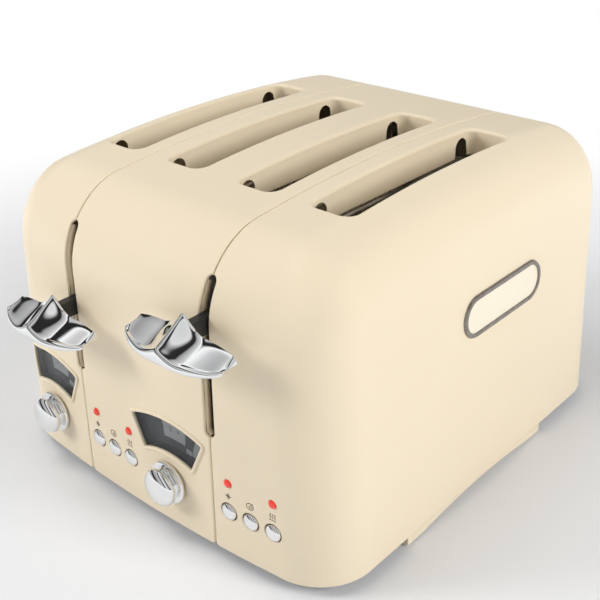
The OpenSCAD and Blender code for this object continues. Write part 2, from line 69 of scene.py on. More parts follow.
BODY_W, BODY_D, BODY_H = 268, 312, 200
CORNER_R, SIDE_R, BOW, CROWN, TAPER, WALL = 42, 36, 4.9, 12, 0.09, 1.8
SLOT_W, SLOT_L, SLOT_CORNER, SLOT_FROM_FRONT = 28, 155, 7, 68.5
FLANGE_T, FLANGE_Z = 1.2, 181
NOTCH_R, NOTCH_Z, NOTCH_IN, NOTCH_FROM = 6, 187, 10, 11
LEVER_LOW, LEVER_HIGH, LEVER_GAP = 80, 172, 6.5
FAN_R0, FAN_R1, FAN_HALF, FAN_DROP = 46, 68.5, radians(24), 26.6
BUTTON_HOLE, LAMP_HOLE, KNOB_HOLE, CORD_HOLE = 5.6, 2.6, 4, 6.3
TRAY_HALF, TRAY_LOW, TRAY_HIGH = 41.5, 10, 20
CORD_Z = 32

FRONT_Y = box("shell_centre")[0].y
SKIRT_Z = box("shell_centre")[0].z
SEAM = [
    (box("shell_left")[1].x + box("shell_centre")[0].x) / 2,
    (box("shell_centre")[1].x + box("shell_right")[0].x) / 2,
]
SLOT_X = [middle(f"bread_guide_{k}").x for k in (1, 2, 3, 4)]
SLOT_Y0 = FRONT_Y + SLOT_FROM_FRONT
KNOB = [middle(f"knob_{s}") for s in SIDES]
BUTTONS = {f"{b}_button_{s}": middle(f"{b}_button_{s}") for s in SIDES for b in KINDS}
LAMP_Z = middle("lamps_left").z
STEM_Z = [middle(f"lever_stem_{s}").z for s in SIDES]

FLAT = BODY_W / 2 - SIDE_R
UP = BODY_H - CROWN - CORNER_R
ARC = pi / 2 * CORNER_R
RUN = BODY_D - 2 * CORNER_R
ROUND = 2 * UP + 2 * ARC + RUN
A_END = FLAT + SIDE_R * pi / 2


# ---- The casing as a surface: a runs across, p along the profile from front to back ----


def profile(p, t):
    """Place (y, z) and outward normal at arc length p of the middle section, t inside its face."""
    r = CORNER_R - t
    if p < UP:
        return t, p, -1, 0
    if p < UP + ARC:
        e = (p - UP) / CORNER_R
        return CORNER_R - r * cos(e), UP + r * sin(e), -cos(e), sin(e)
    if p < UP + ARC + RUN:
        return CORNER_R + p - UP - ARC, UP + r, 0, 1
    if p < UP + 2 * ARC + RUN:
        e = (p - UP - ARC - RUN) / CORNER_R
        return BODY_D - CORNER_R + r * sin(e), UP + r * cos(e), sin(e), cos(e)
    return BODY_D - t, ROUND - p, 1, 0


def casing(a, p, t=0.0):
    """Point of the casing, t inside its outer face."""
    y, z, ny, nz = profile(p, t)
    e = min(max(abs(a) - FLAT, 0) / SIDE_R, pi / 2)
    x = copysign(min(abs(a), FLAT) + (SIDE_R - t) * sin(e), a)
    inset = (SIDE_R - t) * (1 - cos(e))
    y -= ny * (inset + BOW * (min(abs(x), FLAT) / FLAT) ** 2)
    u = y / (BODY_D / 2) - 1
    z += CROWN * (1 - u * u) * z / BODY_H - nz * inset
    return Vector((x * (1 - TAPER * z / BODY_H), FRONT_Y + y, z))


def tangents(a, p):
    h = 0.05
    across = casing(a + h, p) - casing(a - h, p)
    along = casing(a, p + h) - casing(a, p - h)
    return across.normalized(), along.normalized()


def outward(a, p):
    across, along = tangents(a, p)
    return across.cross(along).normalized()


def station(x, z):
    """How far across the casing a place with this x and z lies."""
    x /= 1 - TAPER * z / BODY_H
    if abs(x) <= FLAT:
        return x
    return copysign(FLAT + SIDE_R * asin(min(1, (abs(x) - FLAT) / SIDE_R)), x)


def solve(rising, low, high):
    for _ in range(36):
        mid = (low + high) / 2
        if rising(mid) < 0:
            low = mid
        else:
            high = mid
    return (low + high) / 2


def front_p(a, z):
    return solve(lambda p: casing(a, p).z - z, 0, UP + ARC)


def back_p(a, z):
    return solve(lambda p: z - casing(a, p).z, UP + ARC + RUN, ROUND)


def on_front(x, z):
    a = station(x, z)
    return a, front_p(a, z)


def on_back(x, z):
    a = station(x, z)
    return a, back_p(a, z)


def on_top(x, y):
    z = BODY_H - CROWN / 2
    for _ in range(4):
        a = station(x, z)
        p = solve(lambda q: casing(a, q).y - y, UP, ROUND - UP)
        z = casing(a, p).z
    return a, p


def face_y(x, z):
    """Front face at a place on its upright part."""
    s = abs(x) / (1 - TAPER * z / BODY_H)
    e = min(max(s - FLAT, 0), SIDE_R)
    return FRONT_Y + SIDE_R - sqrt(SIDE_R**2 - e * e) + BOW * (min(s, FLAT) / FLAT) ** 2


# ---- Mesh tools ----


class Skin:
    """A mesh made of patches and strips that are welded where they meet.
    Each point may carry the normal that it is shaded with."""

    def __init__(self):
        self.points, self.normals, self.faces, self.slots = [], [], [], []

    def patch(self, points, normals, faces, slot=0):
        first = len(self.points)
        self.points += points
        self.normals += normals
        self.faces += [[first + i for i in f] for f in faces]
        self.slots += [slot] * len(faces)

    def strip(self, rows, closed=True, slot=0):
        """Quads between neighbouring rows, each a list of (point, normal)."""
        n = len(rows[0])
        last = n if closed else n - 1
        faces = [
            (r * n + i, r * n + (i + 1) % n, (r + 1) * n + (i + 1) % n, (r + 1) * n + i)
            for r in range(len(rows) - 1)
            for i in range(last)
        ]
        every = [q for row in rows for q in row]
        self.patch([q[0] for q in every], [q[1] for q in every], faces, slot)

    def lid(self, row, slot=0):
        """One face over a closed row."""
        self.patch([q[0] for q in row], [q[1] for q in row], [list(range(len(row)))], slot)

    def tube(self, rows):
        """A strip with a lid at both ends."""
        self.strip(rows)
        self.lid(rows[0])
        self.lid(rows[-1])

    def mesh(self, name, crease=None):
        """Welds it all into a mesh in metres. Where no normals are given, edges over crease
        degrees are sharp."""
        made = bpy.data.meshes.new(name)
        made.from_pydata([Vector(p) * MM for p in self.points], [], self.faces)
        made.polygons.foreach_set("material_index", self.slots)
        shade = made.attributes.new("shade", "FLOAT_VECTOR", "POINT")
        shade.data.foreach_set("vector", np.array(self.normals, np.float32).ravel())
        bm = bmesh.new()
        bm.from_mesh(made)
        bmesh.ops.remove_doubles(bm, verts=bm.verts, dist=0.012 * MM)
        bmesh.ops.dissolve_degenerate(bm, edges=bm.edges, dist=0.002 * MM)
        bmesh.ops.recalc_face_normals(bm, faces=bm.faces)
        bm.to_mesh(made)
        bm.free()
        made.polygons.foreach_set("use_smooth", [True] * len(made.polygons))
        given = np.zeros(len(made.vertices) * 3, np.float32)
        made.attributes["shade"].data.foreach_get("vector", given)
        made.attributes.remove(made.attributes["shade"])
        given = given.reshape(-1, 3)
        if np.abs(given).sum() > 0:
            own = np.array([v.normal for v in made.vertices])
            blank = np.abs(given).sum(1) < 0.01
            given[blank] = own[blank]
            made.normals_split_custom_set_from_vertices(given.tolist())
        elif crease:
            made.set_sharp_from_angle(angle=radians(crease))
        return made


PLAIN = (0.0, 0.0, 0.0)


def bare(points):
    """Points of a row that get their normals from the mesh."""
    return [(Vector(p), PLAIN) for p in points]


def parity(points, loops):
    """True where a point has an odd number of loop edges to its right."""
    x, y = points[:, 0], points[:, 1]
    odd = np.zeros(len(points), bool)
    for loop in loops:
        for (x0, y0), (x1, y1) in zip(loop, loop[1:] + loop[:1]):
            if y0 != y1:
                odd ^= ((y0 > y) != (y1 > y)) & (x < (x1 - x0) * (y - y0) / (y1 - y0) + x0)
    return odd


def fill(loops, step):
    """Points and faces over the flat region inside the first loop and outside the others:
    squares of about that step, and triangles where they meet the loops."""
    loops = [[(float(p[0]), float(p[1])) for p in loop] for loop in loops]
    rim = [p for loop in loops for p in loop]
    low, high = np.min(rim, 0), np.max(rim, 0)
    count = np.maximum(2, np.ceil((high - low) / step)).astype(int)
    near = kdtree.KDTree(len(rim))
    for i, p in enumerate(rim):
        near.insert((p[0], p[1], 0), i)
    near.balance()
    cells = [(i, j) for j in range(1, count[1]) for i in range(1, count[0])]
    places = low + (high - low) * np.array(cells, float).reshape(-1, 2) / count
    inner = parity(places, loops) if len(places) else []
    kept = [k for k in range(len(places)) if inner[k] and near.find((*places[k], 0))[2] > 0.6 * step]
    spots = [Vector(p) for p in rim] + [Vector(places[k]) for k in kept]
    edges, first = [], 0
    for loop in loops:
        n = len(loop)
        edges += [(first + i, first + (i + 1) % n) for i in range(n)]
        first += n
    found, _, faces, came_from, _, _ = delaunay_2d_cdt(spots, edges, [], 0, 1e-5)
    flat = np.array([tuple(v) for v in found])
    faces = [f for f in faces if len(f) >= 3]
    inside = parity(np.array([flat[f].mean(0) for f in faces]), loops)
    grid = {}
    for i, origin in enumerate(came_from):
        own = [k - len(rim) for k in origin if k >= len(rim)]
        if own:
            grid[i] = cells[kept[own[0]]]
    squares, kept_faces = {}, []
    for f, ok in zip(faces, inside):
        if not ok:
            continue
        if len(f) == 3 and all(i in grid for i in f):
            corner = (min(grid[i][0] for i in f), min(grid[i][1] for i in f))
            if max(grid[i][0] for i in f) == corner[0] + 1 and max(grid[i][1] for i in f) == corner[1] + 1:
                squares.setdefault(corner, []).append(f)
                continue
        kept_faces.append(list(f))
    order = [(0, 0), (1, 0), (1, 1), (0, 1)]
    for corner, pair in squares.items():
        ids = {i for f in pair for i in f}
        if len(pair) == 2 and len(ids) == 4:
            at = {(grid[i][0] - corner[0], grid[i][1] - corner[1]): i for i in ids}
            kept_faces.append([at[q] for q in order])
        else:
            kept_faces += [list(f) for f in pair]
    return [tuple(v) for v in flat], kept_faces


def left_normals(points, closed):
    """Unit normals to the left of a flat line of points."""
    out, n = [], len(points)
    for i in range(n):
        a = points[(i - 1) % n if closed else max(i - 1, 0)]
        b = points[(i + 1) % n if closed else min(i + 1, n - 1)]
        d = Vector((b[0] - a[0], b[1] - a[1])).normalized()
        out.append((-d.y, d.x))
    return out


def resample(a, b, step):
    """Places from a towards b, a included and b left out."""
    n = max(1, round((Vector(b) - Vector(a)).length / step))
    return [tuple(Vector(a).lerp(Vector(b), k / n)) for k in range(n)]


# ---- Materials ----


class Paint:
    """Node material around one Principled shader."""

    def __init__(self, name, **sockets):
        self.material = bpy.data.materials.new(name)
        self.material.use_nodes = True
        self.tree = self.material.node_tree
        self.shader = next(n for n in self.tree.nodes if n.type == "BSDF_PRINCIPLED")
        for key, value in sockets.items():
            key = key.replace("_", " ")
            self.shader.inputs[key].default_value = (*value, 1) if isinstance(value, tuple) else value
        self.place = self.node("ShaderNodeTexCoord").outputs["Object"]
        self.bumped = None

    def node(self, kind, **settings):
        made = self.tree.nodes.new(kind)
        for key, value in settings.items():
            if hasattr(made, key):
                setattr(made, key, value)
            else:
                made.inputs[key.replace("_", " ")].default_value = value
        return made

    def link(self, a, b):
        self.tree.links.new(a, b)

    def stretch(self, factors):
        """Object coordinates stretched by factors."""
        made = self.node("ShaderNodeMapping")
        self.link(self.place, made.inputs["Vector"])
        made.inputs["Scale"].default_value = factors
        return made.outputs["Vector"]

    def noise(self, scale, detail=3.0, rough=0.5, where=None):
        made = self.node("ShaderNodeTexNoise", Scale=scale, Detail=detail, Roughness=rough)
        self.link(where or self.place, made.inputs["Vector"])
        return made.outputs["Fac"]

    def voronoi(self, scale, where=None, feature="F1"):
        made = self.node("ShaderNodeTexVoronoi", feature=feature, Scale=scale)
        self.link(where or self.place, made.inputs["Vector"])
        return made.outputs["Distance"]

    def ramp(self, source, *stops):
        """Colours or greys at places along source."""
        made = self.node("ShaderNodeValToRGB")
        marks = made.color_ramp.elements
        while len(marks) < len(stops):
            marks.new(0.5)
        for mark, (at, value) in zip(marks, stops):
            mark.position = at
            mark.color = (*value, 1) if isinstance(value, tuple) else (value, value, value, 1)
        self.link(source, made.inputs["Fac"])
        return made.outputs["Color"]

    def colour(self, source, *stops):
        self.link(self.ramp(source, *stops), self.shader.inputs["Base Color"])
        return self

    def roughness(self, source, low, high):
        self.link(self.ramp(source, (0.3, low), (0.7, high)), self.shader.inputs["Roughness"])
        return self

    def bump(self, source, depth, strength=1.0):
        """Adds a bump of that depth in metres."""
        made = self.node("ShaderNodeBump", Strength=strength, Distance=depth)
        self.link(source, made.inputs["Height"])
        if self.bumped:
            self.link(self.bumped, made.inputs["Normal"])
        self.bumped = made.outputs["Normal"]
        self.link(self.bumped, self.shader.inputs["Normal"])
        return self


def enamel(name, light, dark):
    """Baked satin enamel: almost even colour, and a fine orange peel."""
    m = Paint(name, Roughness=0.42, Coat_Weight=0.25, Coat_Roughness=0.35, Specular_IOR_Level=0.45)
    m.colour(m.noise(9, 4), (0.3, dark), (0.7, light))
    m.roughness(m.noise(60, 3), 0.39, 0.46)
    return m.bump(m.noise(900, 2), 0.00002, 0.35).bump(m.noise(160, 2), 0.00004, 0.2).material


def chromed(name, tone=0.9, rough=0.05):
    """Polished plating with faint haze."""
    m = Paint(name, Metallic=1.0, Roughness=rough)
    m.colour(m.noise(30, 3), (0.35, (tone * 0.96, tone * 0.97, tone * 0.98)), (0.65, (tone, tone, tone)))
    m.roughness(m.noise(220, 4, 0.6), rough * 0.7, rough * 1.6)
    return m.bump(m.noise(60, 2), 0.00002, 0.12).material


def rolled(name, tone, rough, grain=(400, 12, 12)):
    """Rolled or drawn steel with a fine grain along one direction."""
    m = Paint(name, Metallic=1.0, Roughness=rough)
    lines = m.noise(1, 4, 0.6, m.stretch(grain))
    m.colour(lines, (0.3, (tone * 0.82, tone * 0.82, tone * 0.83)), (0.7, (tone, tone, tone * 0.99)))
    m.roughness(lines, rough * 0.8, rough * 1.3)
    return m.bump(lines, 0.00003, 0.3).material


def moulded(name, light, dark, rough=0.5, scale=700):
    """Moulded plastic or rubber with a fine spark texture."""
    m = Paint(name, Roughness=rough)
    m.colour(m.noise(25, 4), (0.35, dark), (0.65, light))
    m.roughness(m.noise(300, 3), rough * 0.85, rough * 1.12)
    return m.bump(m.voronoi(scale), 0.00003, 0.35).material


def mica_board(name):
    """Layered mica: flakes of slightly different colour with a glassy sheen."""
    m = Paint(name, Roughness=0.35, Specular_IOR_Level=0.6)
    m.colour(m.voronoi(260), (0.1, (0.50, 0.40, 0.25)), (0.5, (0.66, 0.57, 0.41)), (0.9, (0.36, 0.28, 0.17)))
    m.roughness(m.noise(300, 3), 0.25, 0.5)
    return m.bump(m.voronoi(260), 0.00008, 0.5).material


def tinted(name):
    """Smoked glass that shows a little of what is behind it."""
    m = Paint(name, Roughness=0.04, IOR=1.5, Alpha=0.28, Coat_Weight=0.6, Coat_Roughness=0.02)
    m.colour(m.noise(40, 2), (0.3, (0.035, 0.040, 0.046)), (0.7, (0.05, 0.056, 0.063)))
    m.roughness(m.noise(300, 2), 0.02, 0.06)
    return m.material


def red_lens(name):
    """Red lamp lens, lit a little from within."""
    m = Paint(name, Roughness=0.12, IOR=1.49, Coat_Weight=0.8, Coat_Roughness=0.04, Emission_Strength=0.22)
    m.shader.inputs["Emission Color"].default_value = (1.0, 0.05, 0.02, 1)
    m.colour(m.noise(500, 2), (0.3, (0.62, 0.030, 0.018)), (0.7, (0.80, 0.05, 0.03)))
    return m.bump(m.voronoi(1200), 0.00005, 0.3).material


def winding(name):
    """Enamelled copper wire wound round a core."""
    m = Paint(name, Metallic=0.9, Roughness=0.32)
    rings = m.node("ShaderNodeTexWave", bands_direction="Z", Scale=420.0, Distortion=0.4)
    m.link(m.place, rings.inputs["Vector"])
    m.colour(rings.outputs["Fac"], (0.2, (0.20, 0.07, 0.03)), (0.8, (0.62, 0.28, 0.12)))
    return m.bump(rings.outputs["Fac"], 0.0002, 0.8).material


def circuit(name):
    """Green board with darker tracks."""
    m = Paint(name, Roughness=0.4)
    m.colour(m.voronoi(220, feature="F2"), (0.42, (0.02, 0.10, 0.05)), (0.5, (0.05, 0.22, 0.11)))
    m.roughness(m.noise(200, 3), 0.3, 0.5)
    return m.bump(m.voronoi(220), 0.00005, 0.4).material


def pewter(name):
    """Cast border of the badge: dull and slightly grained."""
    m = Paint(name, Metallic=0.75, Roughness=0.38)
    m.colour(m.noise(300, 4), (0.3, (0.24, 0.21, 0.19)), (0.7, (0.36, 0.33, 0.30)))
    m.roughness(m.noise(500, 3), 0.3, 0.48)
    return m.bump(m.noise(1500, 3), 0.00003, 0.4).material


CREAM = enamel("cream enamel", (0.85, 0.735, 0.545), (0.835, 0.718, 0.527))
CREAM_PALE = enamel("pale cream enamel", (0.90, 0.82, 0.66), (0.88, 0.80, 0.64))
CHROME = chromed("polished chrome")
STEEL = rolled("rolled steel", 0.62, 0.34)
WIRE = rolled("bright wire", 0.68, 0.22, (60, 60, 500))
BRIGHT = rolled("ground rod", 0.75, 0.18, (300, 300, 8))
RUBBER = moulded("soft rubber", (0.035, 0.035, 0.036), (0.02, 0.02, 0.021), 0.75, 500)
BLACK = moulded("black moulding", (0.022, 0.022, 0.023), (0.012, 0.012, 0.013), 0.45)
MICA = mica_board("mica")
COPPER = winding("copper winding")
BOARD = circuit("circuit board")
GLASS = tinted("smoked glass")
RED = red_lens("red lens")
PEWTER = pewter("pewter")
CERAMIC = moulded("white ceramic", (0.80, 0.78, 0.72), (0.72, 0.70, 0.65), 0.35, 400)
SCALE_DARK = moulded("scale dark print", (0.13, 0.14, 0.15), (0.09, 0.10, 0.11), 0.5)
# Light grey of the scale's ticks, which are print, and of its light patches, which are partly painted
# reflection.
SCALE_LIGHT_PRINT_AND_REFLECTION = moulded("scale light print and painted reflection", (0.80, 0.82, 0.84), (0.66, 0.68, 0.70), 0.5)
INK = moulded("brown ink", (0.075, 0.05, 0.03), (0.055, 0.036, 0.02), 0.6)


def linked(name, data):
    """A new object of that data, in the scene."""
    obj = bpy.data.objects.new(name, data)
    bpy.context.scene.collection.objects.link(obj)
    return obj


def piece(name, mesh, body, materials, slot, *nodes):
    """Makes an object of a mesh, on a CAD body, in place of those CAD nodes."""
    obj = linked(name, mesh)
    for m in materials:
        mesh.materials.append(m)
    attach(obj, body)
    if nodes:
        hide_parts(*nodes)
    return obj


def stand_in(name, skin, crease, body, materials, slot):
    """Makes an object of a skin in place of the CAD node of the same name."""
    return piece(name, skin.mesh(name, crease), body, materials, slot, name)


def both(*names):
    """Node names of both modules."""
    return [f"{name}_{s}" for name in names for s in SIDES]


def half_round(radius, low, height, degrees):
    """Points (across, up) of an arc that starts at its full radius."""
    turns = [radians(d) for d in degrees]
    return [(radius * cos(b), low + height * sin(b)) for b in turns]


# ---- Casings ----

SEAM_GAP, SEAM_LIP, SKIRT_LIP, FOOT_ROUND = 0.25, 1.1, 0.8, 2.6
SEAM_FLANGE, SEAM_SHEET = 6, 1.0
# CAD cuts the slot straight through. Here the sheet's inner edge sits lower where the face leans back.
SLOT_TOP = LEVER_HIGH + 1.3
SLOT_LIP = 2.2
STEP = 4.2
LIP_STEPS = 5


def bottom_line(a0, a1, solver):
    """Lower edge of a casing from one station to another, on the front or the back."""
    return [(a, solver(a, SKIRT_Z), SKIRT_LIP) for a, _ in resample((a0, 0), (a1, 0), 3)]


def foot(s, side, at):
    """Rounded lower corner of a casing beside a seam, from its lower edge up to the seam."""
    out = []
    for k in range(6):
        b = pi / 2 * k / 5
        x = SEAM[s] + side * (SEAM_GAP + FOOT_ROUND * (1 - sin(b)))
        z = SKIRT_Z + FOOT_ROUND * (1 - cos(b))
        out.append((*at(x, z), SKIRT_LIP + (SEAM_LIP - SKIRT_LIP) * k / 5))
    return out


def seam_edge(s, side):
    """A casing's edge along a seam, from the front's foot over the top to the back's foot.
    Its half of the lever slot widens it. side is 1 for the casing on the seam's right."""
    half = LEVER_GAP / 2
    start = asin(SEAM_GAP / half)
    out = foot(s, side, on_front)

    def put(x, z, at=on_front, lip=SEAM_LIP):
        out.append((*at(SEAM[s] + side * x, z), lip))

    for _, z in resample((0, SKIRT_Z + FOOT_ROUND), (0, LEVER_LOW), STEP)[1:]:
        put(SEAM_GAP, z)
    turns = [start + (pi / 2 - start) * k / 7 for k in range(8)]
    for b in turns:
        put(half * sin(b), LEVER_LOW + half * (1 - cos(b)))
    for _, z in resample((0, LEVER_LOW + half), (0, SLOT_TOP - half), STEP)[1:]:
        put(half, z)
    for b in reversed(turns):
        put(half * sin(b), SLOT_TOP - half * (1 - cos(b)))
    p, end = out[-1][1], on_back(SEAM[s], TRAY_HIGH)[1]
    for q, _ in resample((p, 0), (end, 0), STEP)[1:]:
        a = SEAM[s]
        for _ in range(3):
            a = station(SEAM[s] + side * SEAM_GAP, casing(a, q).z)
        out.append((a, q, SEAM_LIP))
    corners = [(SEAM_GAP, TRAY_HIGH), (TRAY_HALF, TRAY_HIGH), (TRAY_HALF, TRAY_LOW), (SEAM_GAP, TRAY_LOW)]
    for c, d in zip(corners, corners[1:]):
        for x, z in resample(c, d, 3):
            put(x, z, on_back, 0.5)
    put(*corners[-1], on_back, 0.5)
    return out + foot(s, side, on_back)[::-1]


def circle_loop(x, z, r, n, at=on_front):
    """Points round a hole, with the sheet to the left."""
    turn = -1 if at is on_front else 1
    angles = [turn * tau * k / n for k in range(n)]
    return [at(x + r * cos(b), z + r * sin(b)) for b in angles]


def fan_loop(g, r=1.2, steps=16):
    """Outline of a window grown by g, clockwise as seen from the front, about the fan's centre."""
    q = r + g
    r0, r1 = FAN_R0 + r, FAN_R1 - r
    a0, a1 = FAN_HALF - asin(r / r0), FAN_HALF - asin(r / r1)
    side = FAN_HALF + pi / 2

    def arc(radius, start, end, n, cx=0.0, cz=0.0):
        angles = [start + (end - start) * k / n for k in range(n + 1)]
        return [(cx + radius * sin(b), cz + radius * cos(b)) for b in angles]

    def corner(radius, at, start, end):
        return arc(q, start, end, 4, radius * sin(at), radius * cos(at))

    out = arc(r1 + q, -a1, a1, steps)[1:-1]
    out += corner(r1, a1, a1, side)
    upper, lower = out[-1], corner(r0, a0, side, a0 + pi)
    out += resample(upper, lower[0], 3)[1:] + lower
    out += arc(r0 - q, a0, -a0, steps)[1:-1]
    out += corner(r0, -a0, pi - a0, tau - side)
    lower, upper = out[-1], corner(r1, -a1, -side, -a1)
    return out + resample(lower, upper[0], 3)[1:] + upper


def slot_loop(c):
    """Points (x, y) round a bread slot, clockwise as seen from above, denser at the flange's notches."""
    hx, hy, r = SLOT_W / 2, SLOT_L / 2, SLOT_CORNER
    mid = SLOT_Y0 + hy
    notches = [hy - NOTCH_IN + NOTCH_R * cos(radians(b)) for b in range(15, 181, 15)]
    notches = [y for y in notches if y < hy - r - 0.2] + [hy - NOTCH_IN - NOTCH_R - 0.05]
    plain = [k * 4.0 for k in range(-14, 15)]
    ys = sorted(plain + notches + [-y for y in notches], reverse=True)
    out = [(c + hx, mid + y) for y in ys]

    def corner(cx, cy, start):
        turns = [radians(start + b) for b in range(0, 91, 9)]
        return [(c + cx + r * sin(b), mid + cy + r * cos(b)) for b in turns]

    out += corner(hx - r, r - hy, 90)
    out += [(c + x, mid - hy) for x in (3.5, 0, -3.5)]
    out += corner(r - hx, r - hy, 180)
    out += [(c - hx, mid + y) for y in reversed(ys)]
    out += corner(r - hx, hy - r, 270)
    out += [(c + x, mid + hy) for x in (-3.5, 0, 3.5)]
    return out + corner(hx - r, hy - r, 0)


def flange_bottom(c, x, y):
    """Lower edge of a slot's flange, which is relieved by a round-headed notch at each corner."""
    for centre in (SLOT_Y0 + NOTCH_IN, SLOT_Y0 + SLOT_L - NOTCH_IN):
        if abs(x - c) > NOTCH_FROM and abs(y - centre) < NOTCH_R:
            return NOTCH_Z + sqrt(NOTCH_R**2 - (y - centre) ** 2)
    return FLANGE_Z


def lip_rows(line, closed):
    """Rows of a rounded edge, from the outer face inwards. line holds (a, p, lip radius)."""
    normals = left_normals(line, closed)
    rows = []
    for k in range(LIP_STEPS + 1):
        b = pi / 2 * k / LIP_STEPS
        row = []
        for (a, p, r), (na, np_) in zip(line, normals):
            off = r * (1 - sin(b))
            at, ap = a + na * off, p + np_ * off
            across, along = tangents(at, ap)
            into = (across * na + along * np_).normalized()
            normal = across.cross(along).normalized() * cos(b) - into * sin(b)
            row.append((casing(at, ap, r * (1 - cos(b))), normal))
        rows.append(row)
    return rows, normals


def moved(line, normals, off):
    return [(a + na * off, p + np_ * off) for (a, p, *_), (na, np_) in zip(line, normals)]


def rim_places(line, normals):
    """Where the outer face ends at a rounded edge."""
    return [(a + na * r, p + np_ * r) for (a, p, r), (na, np_) in zip(line, normals)]


def shell(name, line, closed, plain_holes, slots, end=0):
    """One casing as a closed thin solid. line is its edge, anticlockwise in (a, p), and for an end
    casing it leaves out the rounded side at a = end * A_END, which a flat cheek closes."""
    skin = Skin()
    rows, normals = lip_rows(line, closed)
    inner_edge = [(a, p) for a, p, _ in line]
    rows.append([(casing(a, p, WALL), r[1]) for (a, p), r in zip(inner_edge, rows[-1])])
    skin.strip(rows, closed)
    slot_flange(skin, line)
    outer_loops, inner_loops = [rim_places(line, normals)], [inner_edge]
    for loop, lip in plain_holes:
        hole = [(a, p, lip) for a, p in loop]
        rows, normals = lip_rows(hole, True)
        rows.append([(casing(a, p, WALL), r[1]) for (a, p, _), r in zip(hole, rows[-1])])
        skin.strip(rows)
        outer_loops.append(rim_places(hole, normals))
        inner_loops.append([(a, p) for a, p, _ in hole])
    for c in slots:
        flat = slot_loop(c)
        hole = [(*on_top(x, y), SLOT_LIP) for x, y in flat]
        rows, normals = lip_rows(hole, True)
        bottoms = [min(flange_bottom(c, x, y), r[0].z - 0.2) for (x, y), r in zip(flat, rows[-1])]
        start = rows[-1]
        for k in range(1, 5):
            drop = [(q, n, (z - q.z) * k / 4) for (q, n), z in zip(start, bottoms)]
            rows.append([(Vector((q.x, q.y, q.z + d)), n) for q, n, d in drop])
        outside = [casing(a, p, WALL + FLANGE_T) for a, p in moved(hole, normals, FLANGE_T)]
        for lowest in (0, 1):
            ends = [max(q.z, z + 0.1) if lowest else z for q, z in zip(outside, bottoms)]
            rows.append([(Vector((q.x, q.y, z)), -r[1]) for q, z, r in zip(outside, ends, start)])
        inner = moved(hole, normals, FLANGE_T + WALL)
        rows.append([(casing(a, p, WALL), -outward(a, p)) for a, p in inner])
        skin.strip(rows)
        outer_loops.append(rim_places(hole, normals))
        inner_loops.append(inner)
    for loops, t, step, sign in ((outer_loops, 0.0, STEP, 1), (inner_loops, WALL, 2.5 * STEP, -1)):
        if end:
            first, last = loops[0][0], loops[0][-1]
            loops[0] = loops[0] + resample(last, first, STEP)[1:]
            side = [last] + resample(last, first, STEP)[1:] + [first]
            cheek(skin, end, side, t, step, sign)
        places, faces = fill(loops, step)
        skin.patch(
            [casing(a, p, t) for a, p in places],
            [outward(a, p) * sign for a, p in places],
            faces,
        )
    if end:
        cheek_edge(skin, end, line)
    return stand_in(name, skin, None, "body", [CREAM], "casing_paint")


def slot_flange(skin, line):
    """Turned-in sheet along the part of an edge that is half of a lever slot. It leaves out the
    round upper end, where the face leans back and the sheet would dip into the stem's way."""
    normals = left_normals(line, False)
    root = WALL - 0.2
    corners = ((0, root), (0, SEAM_FLANGE), (SEAM_SHEET, SEAM_FLANGE), (SEAM_SHEET, root))
    for x in SEAM:
        rows = []
        for (a, p, _), (na, np_) in zip(line, normals):
            q = casing(a, p)
            gap = abs(q.x - x)
            straight = gap > LEVER_GAP / 2 - 0.1 or q.z < LEVER_LOW + LEVER_GAP
            if p < UP + ARC and q.z > LEVER_LOW - 1 and SEAM_GAP + 0.6 < gap < LEVER_GAP and straight:
                rows.append(bare(casing(a + na * off, p + np_ * off, t) for off, t in corners))
        if rows:
            skin.tube(rows)


def cheek_point(end, y, z, t):
    return Vector((end * (BODY_W / 2 - t) * (1 - TAPER * z / BODY_H), y, z))


CHEEK_LEAN = atan(BODY_W / 2 * TAPER / BODY_H)


def cheek_normal(end):
    return Vector((end * cos(CHEEK_LEAN), 0, sin(CHEEK_LEAN)))


def cheek(skin, end, side, t, step, sign):
    """Flat side of an end casing, inside the line side of (a, p) places and a straight lower edge."""
    rim = [casing(a, p, t) for a, p in side]
    low = resample((rim[0].y, rim[0].z), (rim[-1].y, rim[-1].z), 3)[1:]
    loop = [(q.y, q.z) for q in rim] + low[::-1]
    places, faces = fill([loop], step)
    skin.patch(
        [cheek_point(end, y, z, t) for y, z in places],
        [cheek_normal(end) * sign] * len(places),
        faces,
    )


def cheek_edge(skin, end, line):
    """Rounded lower edge of the flat side, between the ends of the casing's own edge."""
    ends = [casing(*line[k][:2]) for k in (0, -1)]
    ys = [y for y, _ in resample((ends[0].y, 0), (ends[1].y, 0), 3)] + [ends[1].y]
    out = cheek_normal(end)
    rows = []
    for k in range(LIP_STEPS + 1):
        b = pi / 2 * k / LIP_STEPS
        z = SKIRT_Z + SKIRT_LIP * (1 - sin(b))
        normal = out * cos(b) - Vector((0, 0, sin(b)))
        rows.append([(cheek_point(end, y, z, SKIRT_LIP * (1 - cos(b))), normal) for y in ys])
    rows.append([(cheek_point(end, y, SKIRT_Z, WALL), normal) for y in ys])
    skin.strip(rows, closed=False)


def control_holes(x0, x1):
    """Holes in the front between two x, as (loop, lip radius)."""
    spots = [(q.x, q.z, BUTTON_HOLE, 32, 0.5) for q in BUTTONS.values()]
    spots += [(BUTTONS[f"{b}_button_{s}"].x, LAMP_Z, LAMP_HOLE, 18, 0.3) for b in LIT for s in SIDES]
    spots += [(q.x, q.z, KNOB_HOLE, 20, 0.4) for q in KNOB]
    out = [(circle_loop(x, z, r, n), lip) for x, z, r, n, lip in spots if x0 < x < x1]
    for q in KNOB:
        if x0 < q.x < x1:
            out.append(([on_front(q.x + x, q.z - FAN_DROP + z) for x, z in fan_loop(1.2)], 0.3))
    return out


def seam_station(s, side, at):
    x = SEAM[s] + side * (SEAM_GAP + FOOT_ROUND)
    return at(x, SKIRT_Z)[0]


